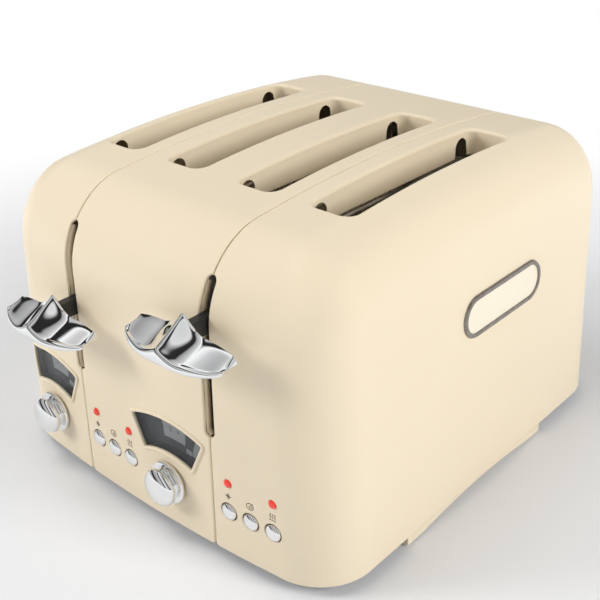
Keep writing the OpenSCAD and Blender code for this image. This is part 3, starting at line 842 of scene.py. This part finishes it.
def make_shells():
    low = [seam_station(0, 1, on_front), seam_station(1, -1, on_front)]
    line = bottom_line(low[0], low[1], front_p) + seam_edge(1, -1)
    line += bottom_line(low[1], low[0], back_p)[1:] + seam_edge(0, 1)[::-1]
    holes = control_holes(SEAM[0], SEAM[1]) + [(circle_loop(0, CORD_Z, CORD_HOLE, 24, on_back), 0.4)]
    shell("shell_centre", line[1:], True, holes, SLOT_X[1:3])
    near = seam_station(1, 1, on_front)
    line = bottom_line(A_END, near, back_p) + seam_edge(1, 1)[::-1]
    line += bottom_line(near, A_END, front_p)[1:] + [(A_END, front_p(A_END, SKIRT_Z), SKIRT_LIP)]
    shell("shell_right", line, False, control_holes(SEAM[1], BODY_W), SLOT_X[3:], 1)
    near = seam_station(0, -1, on_front)
    line = bottom_line(-A_END, near, front_p) + seam_edge(0, -1)
    line += bottom_line(near, -A_END, back_p)[1:] + [(-A_END, back_p(-A_END, SKIRT_Z), SKIRT_LIP)]
    shell("shell_left", line, False, control_holes(-BODY_W, SEAM[0]), SLOT_X[:1], -1)


# ---- Turned pieces ----


def turned(skin, outline, place, n):
    """A body turned about an axis through place towards -Y. outline holds (radius, reach)."""
    turns = [tau * k / n for k in range(n)]
    rows = []
    for r, reach in outline:
        rows.append(bare((place.x + r * cos(w), place.y - reach, place.z + r * sin(w)) for w in turns))
    skin.tube(rows)


def rounded(points, r, steps):
    """An outline with its inner corners rounded to radius r."""
    out = [points[0]]
    for a, b, c in zip(points, points[1:], points[2:]):
        a, b, c = Vector(a), Vector(b), Vector(c)
        cut = min(r, (a - b).length * 0.45, (c - b).length * 0.45)
        p, q = b + (a - b).normalized() * cut, b + (c - b).normalized() * cut
        for k in range(steps + 1):
            u = k / steps
            out.append(tuple(p.lerp(b, u).lerp(b.lerp(q, u), u)))
    return out + [points[-1]]


def make_knobs():
    """Domed knob with a thin skirt ring and a groove between them."""
    for s, name in enumerate(SIDES):
        low, high = box(f"knob_{name}")
        r, depth = (high.x - low.x) / 2, high.y - low.y
        place = Vector((KNOB[s].x, high.y, KNOB[s].z))
        body, neck = r - 1.7, r - 4.2
        skirt, groove, cap = 2.2, (2.8, 4.2), 5.6
        turns = [radians(d) for d in range(4, 90, 4)]
        dome = [(body * cos(b) ** 0.9, depth - cap + cap * sin(b)) for b in turns]
        corners = [(2.0, 0.0), (r, 0.0), (r, skirt), (neck, groove[0]), (neck, groove[1])]
        outline = rounded(corners + [(body, depth - cap - 0.6)], 0.9, 6) + dome + [(0.2, depth)]
        skin = Skin()
        turned(skin, outline, place, 128)
        stand_in(f"knob_{name}", skin, 80, f"knob_{name}", [CHROME], "chrome")


def make_buttons():
    """Domed caps with a flange behind the casing and a stem, each on its own body."""
    rise, cap, flange, flange_r, stem_r = 2.6, 5.6, 6.3, 6.6, 2.5
    for name, q in BUTTONS.items():
        low, high = box(name)
        face = face_y(q.x, q.z)
        tip = face - low.y
        r = BUTTON_HOLE - 0.5
        turns = [radians(d) for d in range(3, 88, 4)]
        dome = [(r * sin(b), tip - rise * (1 - cos(b))) for b in turns]
        outline = [(0.1, tip)] + dome + [(r, tip - rise - 0.3), (r, tip - cap), (flange_r, tip - cap)]
        outline += [(flange_r, tip - flange), (stem_r, tip - flange)]
        outline += [(stem_r, face - high.y), (0.1, face - high.y)]
        skin = Skin()
        turned(skin, outline, Vector((q.x, face, q.z)), 48)
        stand_in(name, skin, 70, name, [CHROME], "chrome")


LENS_R, LENS_RIM, LENS_DOME = 2.35, 0.3, 1.3


def make_lamps():
    for s in SIDES:
        skin = Skin()
        for b in LIT:
            x = BUTTONS[f"{b}_button_{s}"].x
            back = box(f"lamps_{s}")[1].y - 1.0
            face = face_y(x, LAMP_Z)
            dome = half_round(LENS_R, LENS_RIM, LENS_DOME, range(0, 90, 9))
            outline = [(0.05, face - back), (LENS_R, face - back)] + dome + [(0.05, LENS_RIM + LENS_DOME)]
            turned(skin, outline, Vector((x, face, LAMP_Z)), 32)
        stand_in(f"lamps_{s}", skin, 40, "body", [RED], "lamp_red")


# ---- Levers ----

LEVER_HALF, LEVER_BACK, LEVER_FRONT = 35, 9, 31
NOSE = 0.1


def ridge(x):
    """Height share of the crest between the two thumb rests."""
    d = sqrt(x * x + 0.8) - 0.894
    return max(0.0, 1 - d / 14) ** 1.8


def lever_top(u, v):
    crest = ridge(u * LEVER_HALF)
    scoop = (1 - abs(2 * v - 1) ** 6) * (1 - 0.6 * crest) * (1 - abs(u) ** 12)
    return 6 - 9 * v + (8.4 - 6 * v) * crest - (6 - 4 * v) * abs(u) ** 5 - 3.4 * scoop


def lever_under(u, v):
    return -8.5 - 3 * sin(pi * v) * (1 - u**4) + (4 - 3 * v) * abs(u) ** 5


def lever_y(u, v):
    front = LEVER_FRONT - 11 * abs(u) ** 2.6
    return FRONT_Y - LEVER_BACK - (front - LEVER_BACK) * v


def lever_section(u):
    """Closed section across the handle: rounded back rim, scooped top, round nose and full belly."""
    vs = [NOSE + (1 - 2 * NOSE) * k / 20 for k in range(21)]
    out = [(v, lever_top(u, v)) for v in vs]
    for v0, sign in ((1 - NOSE, 1), (NOSE, -1)):
        top, under = lever_top(u, v0), lever_under(u, v0)
        turn = [pi / 2 - pi * k / 10 for k in range(1, 10)]
        mid, half = (top + under) / 2, (top - under) / 2
        nose = [(v0 + sign * NOSE * cos(b), mid + half * sin(b)) for b in turn]
        if sign > 0:
            out += nose + [(v, lever_under(u, v)) for v in reversed(vs)]
        else:
            out += nose[::-1]
    return out


def make_levers():
    for s, name in enumerate(SIDES):
        rows, n = [], 84
        for i in range(n + 1):
            u = -cos(pi * i / n) * 0.55 + (2 * i / n - 1) * 0.45
            close = max(0.0, (abs(u) - 0.93) / 0.07)
            squeeze = max(0.02, sqrt(max(0.0, 1 - close**2)))
            section = lever_section(u)
            mid_z = sum(z for _, z in section) / len(section)
            row = []
            for v, z in section:
                w = 0.5 + (v - 0.5) * (0.9 + 0.1 * squeeze)
                up = STEM_Z[s] + mid_z + (z - mid_z) * squeeze
                row.append((SEAM[s] + u * LEVER_HALF, lever_y(u, w), up))
            rows.append(bare(row))
        skin = Skin()
        skin.tube(rows)
        stand_in(f"lever_{name}", skin, 60, f"carriage_{name}", [CHROME], "chrome")


# ---- Windows, scales and symbols on the curved front ----


def on_face(x, z, off):
    return Vector((x, face_y(x, z) + off, z))


PANE_STEP = 2.5


def pane(skin, loop, cx, cz, front, back, slot=0):
    """A plate that follows the front, between two offsets from it."""
    places, faces = fill([loop], PANE_STEP)
    for off in (front, back):
        skin.patch([on_face(cx + x, cz + z, off) for x, z in places], [PLAIN] * len(places), faces, slot)
    skin.strip([bare(on_face(cx + x, cz + z, off) for x, z in loop) for off in (front, back)], slot=slot)


INK_LIFT = 0.05


def stroke(skin, points, width, cx, cz, off, slot=0):
    """A printed line of that width through points."""
    dense = []
    for a, b in zip(points, points[1:]):
        dense += resample(a, b, 0.6)
    dense.append(points[-1])
    normals = left_normals(dense, False)
    half = width / 2
    rows = []
    for side in (1, -1):
        off_line = side * half
        rows.append([(x + nx * off_line, z + nz * off_line) for (x, z), (nx, nz) in zip(dense, normals)])
    top = [bare(on_face(cx + x, cz + z, off - INK_LIFT) for x, z in row) for row in rows]
    low = [bare(on_face(cx + x, cz + z, off) for x, z in row) for row in rows]
    skin.strip([top[0], top[1], low[1], low[0], top[0]], closed=False, slot=slot)
    for end in (0, -1):
        skin.lid([top[0][end], top[1][end], low[1][end], low[0][end]], slot)


DIGITS = {
    "1": [[(0, 2), (0, -2)]],
    "2": [[(-1, 2), (1, 2), (1, 0), (-1, 0), (-1, -2), (1, -2)]],
    "3": [[(-1, 2), (1, 2), (1, -2), (-1, -2)], [(-0.6, 0), (1, 0)]],
    "4": [[(-1, 2), (-1, 0), (1, 0)], [(1, 2), (1, -2)]],
    "5": [[(1, 2), (-1, 2), (-1, 0), (1, 0), (1, -2), (-1, -2)]],
    "6": [[(1, 2), (-1, 2), (-1, -2), (1, -2), (1, 0), (-1, 0)]],
}


# Light patches of the scale, partly its light band and partly painted reflection of the glass: from and to
# in degrees, inner and outer radius.
BAND_AND_REFLECTION_PATCHES = ((-9, 9, 52, 64.5), (16, 23.5, 49, 66), (10.5, 15.5, 48, 51))
DIGIT_R, DIGIT_SIZE, DIGIT_STEP, TICK = 58, 0.6, 6, (62, 64.2)
DIGIT_OFF, PATCH_OFF, PATCH_BACK, PLATE_OFF, PLATE_BACK = 5.79, 5.8, 5.98, 6, 7
GLASS_OFF, GLASS_BACK = 0.4, 1.8


def polar(radius, angle):
    return radius * sin(angle), radius * cos(angle)


def make_windows():
    for s, name in enumerate(SIDES):
        cx, cz = KNOB[s].x, KNOB[s].z - FAN_DROP
        ridge_section = [(0.65 + x, z) for x, z in half_round(1.15, -0.05, -1.05, range(0, 181, 15))]
        section = ridge_section + [(-0.5, 1.0), (-0.5, 5.8), (1.1, 5.8), (1.1, -0.04)]
        rows = [bare(on_face(cx + x, cz + z, off) for x, z in fan_loop(g)) for g, off in section]
        skin = Skin()
        face = len(ridge_section)
        skin.strip(rows[: face + 1])
        skin.strip(rows[face : face + 2], slot=1)
        skin.strip(rows[face + 1 :] + [rows[0]])
        stand_in(f"window_frame_{name}", skin, 40, "body", [CREAM, BLACK], "casing_paint")
        skin = Skin()
        pane(skin, fan_loop(-0.6), cx, cz, GLASS_OFF, GLASS_BACK)
        stand_in(f"window_{name}", skin, 40, "body", [GLASS], "window_glass")
        skin = Skin()
        pane(skin, fan_loop(0.9), cx, cz, PLATE_OFF, PLATE_BACK)
        # Light patches on the scale plate: partly its light band, partly a painted reflection of the glass.
        for low, high, inner, outer in BAND_AND_REFLECTION_PATCHES:
            count = 10
            angles = [radians(low + (high - low) * k / count) for k in range(count + 1)]
            patch = [polar(outer, a) for a in angles] + [polar(inner, a) for a in reversed(angles)]
            pane(skin, patch, cx, cz, PATCH_OFF, PATCH_BACK, 1)
        for k, digit in enumerate("123456"):
            angle = radians((k - 2.5) * DIGIT_STEP)
            ox, oz = polar(DIGIT_R, angle)
            for line in DIGITS[digit]:
                points = [(ox + DIGIT_SIZE * x, oz + DIGIT_SIZE * z) for x, z in line]
                stroke(skin, points, 0.35, cx, cz, DIGIT_OFF, 2)
            stroke(skin, [polar(r, angle) for r in TICK], 0.4, cx, cz, PATCH_BACK, 1)
        stand_in(f"scale_plate_{name}", skin, 40, "body", [SCALE_DARK, SCALE_LIGHT_PRINT_AND_REFLECTION, INK], "scale")


def ring(cx, cz, r, squash=1.0, start=0, end=360):
    return [(cx + x, z) for x, z in half_round(r, cz, r * squash, range(start, end + 1, 15))]


def make_symbols():
    """Plain signs above the buttons: a star for frozen bread, a ring for rolls, heat waves for reheating."""
    above = 10.6
    for s in SIDES:
        skin = Skin()
        for kind in KINDS:
            q = BUTTONS[f"{kind}_button_{s}"]
            z = q.z + above
            if kind == "defrost":
                lines = [[(-x, -y), (x, y)] for x, y in ((2.1, 0), (0, 2.1), (1.1, 1.1), (1.1, -1.1))]
                widths = [0.45, 0.45, 0.3, 0.3]
            elif kind == "bagel":
                lines = [ring(0, 0, 2.3, 0.9), ring(0.3, -0.2, 0.9, 0.7), [(0.9, 1.2), (2.0, 2.5)]]
                widths = [0.45, 0.35, 0.4]
            else:
                wave = [(0.35 * sin(radians(d)), -1.1 + 3.4 * d / 540) for d in range(0, 541, 45)]
                lines = [[(x + c, y) for x, y in wave] for c in (-1.5, 0, 1.5)]
                lines.append([(-2.3, -2.0), (2.3, -2.0)])
                widths = [0.4, 0.4, 0.4, 0.4]
            for line, width in zip(lines, widths):
                stroke(skin, line, width, q.x, z, -0.02)
        piece(f"symbols_{s}", skin.mesh(f"symbols_{s}", 40), "body", [INK], "casing_paint")


# ---- Badge ----


def stadium(length, height, n=20):
    r, c = height / 2, (length - height) / 2
    out = [(c + r * sin(pi * k / n), r * cos(pi * k / n)) for k in range(n + 1)]
    out += [(-c - r * sin(pi * k / n), -r * cos(pi * k / n)) for k in range(n + 1)]
    dense = []
    for a, b in zip(out, out[1:] + out[:1]):
        dense += resample(a, b, 4)
    return dense


def make_badge():
    """Blank plate with a raised cast border, lying on the right cheek."""
    low, high = box("badge")
    length = high.y - low.y
    height = (high.z - low.z) / cos(CHEEK_LEAN) - 0.15
    cy, cz = (low.y + high.y) / 2, (low.z + high.z) / 2 - 0.05
    out = cheek_normal(1)
    rise = Vector((-sin(CHEEK_LEAN), 0, cos(CHEEK_LEAN)))
    foot_at = cheek_point(1, cy, cz, 0)

    def at(y, z, off):
        return foot_at + Vector((0, y, 0)) + rise * z + out * off

    section = [(0.0, 0.02), (0.15, 0.9), (0.5, 1.45), (0.95, 1.6)]
    section += [(2.3, 1.6), (2.75, 1.4), (2.95, 0.9), (2.95, 0.02)]
    rows = [bare(at(y, z, off) for y, z in stadium(length - 2 * g, height - 2 * g)) for g, off in section]
    skin = Skin()
    skin.strip(rows + [rows[0]])
    field = 2 * section[-1][0] - 0.1  # tucked 0.05 under the border all round
    loop = stadium(length - field, height - field)
    places, faces = fill([loop], 5)
    for off in (0.7, 0.02):
        skin.patch([at(y, z, off) for y, z in places], [PLAIN] * len(places), faces, 1)
    skin.strip([bare(at(y, z, off) for y, z in loop) for off in (0.7, 0.02)], slot=1)
    stand_in("badge", skin, 35, "body", [PEWTER, CREAM_PALE], "badge_metal")


# ---- Carried-over CAD nodes ----


def dress(node, material, bevel):
    """Gives a carried-over CAD node its material, and softens its edges where they show."""
    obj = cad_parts[node]
    obj.data.materials.clear()
    obj.data.materials.append(material)
    if bevel:
        soft = obj.modifiers.new("soft edges", "BEVEL")
        soft.width = bevel * MM
        soft.segments = 2
        soft.limit_method = "ANGLE"
        soft.angle_limit = radians(40)
        soft.harden_normals = True


def dress_frame():
    looks = {
        STEEL: ["base_plate", "base_screws", "chassis_front", "chassis_back"]
        + both("carriage", "armature", "crumb_tray"),
        WIRE: [f"bread_guide_{k}" for k in (1, 2, 3, 4)] + both("return_spring"),
        BRIGHT: both("guide_rod", "knob_shaft"),
        CREAM: both("foot_rail"),
        RUBBER: ["feet"],
        MICA: both("heater_outer", "heater_mid", "heater_inner"),
        BLACK: ["cord_inlet"] + both("lever_stem"),
        COPPER: both("magnet"),
        BOARD: both("control_board"),
        CERAMIC: ["terminal_block"],
    }
    softened = {"feet": 0.4, "cord_inlet": 0.5, "terminal_block": 0.4}
    softened.update({n: 0.8 for n in both("foot_rail")})
    softened.update({n: 0.3 for n in both("crumb_tray")})
    softened.update({n: 0.6 for n in both("lever_stem")})
    for material, nodes in looks.items():
        for node in nodes:
            dress(node, material, softened.get(node, 0))


make_shells()
make_knobs()
make_buttons()
make_lamps()
make_levers()
make_windows()
make_symbols()
make_badge()
dress_frame()


# ---- Floor, light and camera ----


FLOOR_HALF = 6000
FADE_FROM, FADE_TO = 0.26, 0.62


def make_floor():
    """A floor that takes the shadow and turns into the white of the studio further out."""
    skin = Skin()
    ends = (-FLOOR_HALF, FLOOR_HALF)
    skin.patch([(x, y, 0) for x in ends for y in ends], [PLAIN] * 4, [(0, 2, 3, 1)])
    floor = linked("floor", skin.mesh("floor"))
    m = Paint("white sweep", Roughness=0.7, Specular_IOR_Level=0.1)
    m.colour(m.noise(3, 2), (0.3, (0.80, 0.81, 0.83)), (0.7, (0.81, 0.82, 0.84)))
    reach = m.node("ShaderNodeVectorMath", operation="LENGTH")
    m.link(m.place, reach.inputs[0])
    fade = m.ramp(reach.outputs["Value"], (FADE_FROM, 0.0), (FADE_TO, 1.0))
    glow = m.node("ShaderNodeEmission", Strength=1.0)
    blend = m.node("ShaderNodeMixShader")
    m.link(fade, blend.inputs["Fac"])
    m.link(m.shader.outputs[0], blend.inputs[1])
    m.link(glow.outputs[0], blend.inputs[2])
    end = next(n for n in m.tree.nodes if n.type == "OUTPUT_MATERIAL")
    m.link(blend.outputs[0], end.inputs["Surface"])
    floor.data.materials.append(m.material)


FILL = 0.36


def make_world():
    """White studio for the camera, an even fill for what is matt, and soft boxes with dark gaps
    between them for what shines."""
    world = bpy.data.worlds.new("studio")
    bpy.context.scene.world = world
    world.use_nodes = True
    tree = world.node_tree
    tree.nodes.clear()
    new, link = tree.nodes.new, tree.links.new

    def background(strength):
        made = new("ShaderNodeBackground")
        made.inputs["Color"].default_value = (1, 1, 1, 1)
        made.inputs["Strength"].default_value = strength
        return made

    def mix(fac, first, second):
        made = new("ShaderNodeMixShader")
        link(fac, made.inputs["Fac"])
        link(first.outputs[0], made.inputs[1])
        link(second.outputs[0], made.inputs[2])
        return made

    out = new("ShaderNodeOutputWorld")
    path = new("ShaderNodeLightPath")
    where = new("ShaderNodeTexCoord")
    along = new("ShaderNodeVectorMath")
    along.operation = "DOT_PRODUCT"
    along.inputs[1].default_value = (0.72, 0.25, 0.65)
    half = new("ShaderNodeMapRange")
    half.inputs["From Min"].default_value = -1
    ramp = new("ShaderNodeValToRGB")
    shiny = background(1.0)
    link(where.outputs["Generated"], along.inputs[0])
    link(along.outputs["Value"], half.inputs["Value"])
    link(half.outputs["Result"], ramp.inputs["Fac"])
    link(ramp.outputs["Color"], shiny.inputs["Color"])
    marks = ramp.color_ramp.elements
    stops = [
        (0.0, 0.4), (0.18, 0.6), (0.2, 0.02), (0.26, 0.02), (0.29, 0.35),
        (0.46, 0.6), (0.49, 0.02), (0.55, 0.02), (0.58, 1.1), (0.64, 0.7),
        (0.76, 0.4), (0.79, 0.02), (0.85, 0.03), (0.88, 0.8), (1.0, 0.6),
    ]
    while len(marks) < len(stops):
        marks.new(0.5)
    for mark, (at, v) in zip(marks, stops):
        mark.position = at
        mark.color = (v, v, v, 1)
    matt = mix(path.outputs["Is Glossy Ray"], background(FILL), shiny)
    studio = mix(path.outputs["Is Camera Ray"], matt, background(1.0))
    link(studio.outputs[0], out.inputs["Surface"])


def area_light(name, place, target, size, power):
    data = bpy.data.lights.new(name, "AREA")
    data.shape = "RECTANGLE"
    data.size, data.size_y = size
    data.energy = power
    obj = linked(name, data)
    obj.location = place
    obj.visible_glossy = False
    obj.rotation_mode = "QUATERNION"
    obj.rotation_quaternion = (Vector(target) - Vector(place)).to_track_quat("-Z", "Y")
    return obj


def make_camera():
    """At the viewing angle of the picture that the object was rebuilt from."""
    yaw, pitch, roll = (radians(d) for d in (41.67, 27.38, -0.84))
    ahead = Vector((-sin(yaw) * cos(pitch), cos(yaw) * cos(pitch), -sin(pitch)))
    level = Vector((cos(yaw), sin(yaw), 0))
    above = level.cross(ahead)
    right = level * cos(roll) + above * sin(roll)
    up = above * cos(roll) - level * sin(roll)
    data = bpy.data.cameras.new("camera")
    data.sensor_width = 36
    data.lens = 60.97
    data.shift_x, data.shift_y = 0.0169, -0.0085
    data.clip_start, data.clip_end = 0.01, 100
    obj = linked("camera", data)
    turn = Matrix((right, up, -ahead)).transposed().to_4x4()
    obj.matrix_world = Matrix.Translation((0.3820, FRONT_Y * MM - 0.3011, 0.3948)) @ turn
    bpy.context.scene.camera = obj


make_floor()
make_world()
area_light("key", (-1.5, -1.5, 1.1), (0, 0, 0.1), (0.8, 0.8), 26)
area_light("side", (1.9, 0.3, 1.0), (0, 0, 0.12), (0.8, 0.8), 25)
area_light("top", (-0.5, -0.6, 2.1), (0, 0, 0.1), (1.0, 1.0), 11)
make_camera()
bpy.context.scene.view_settings.view_transform = "Standard"
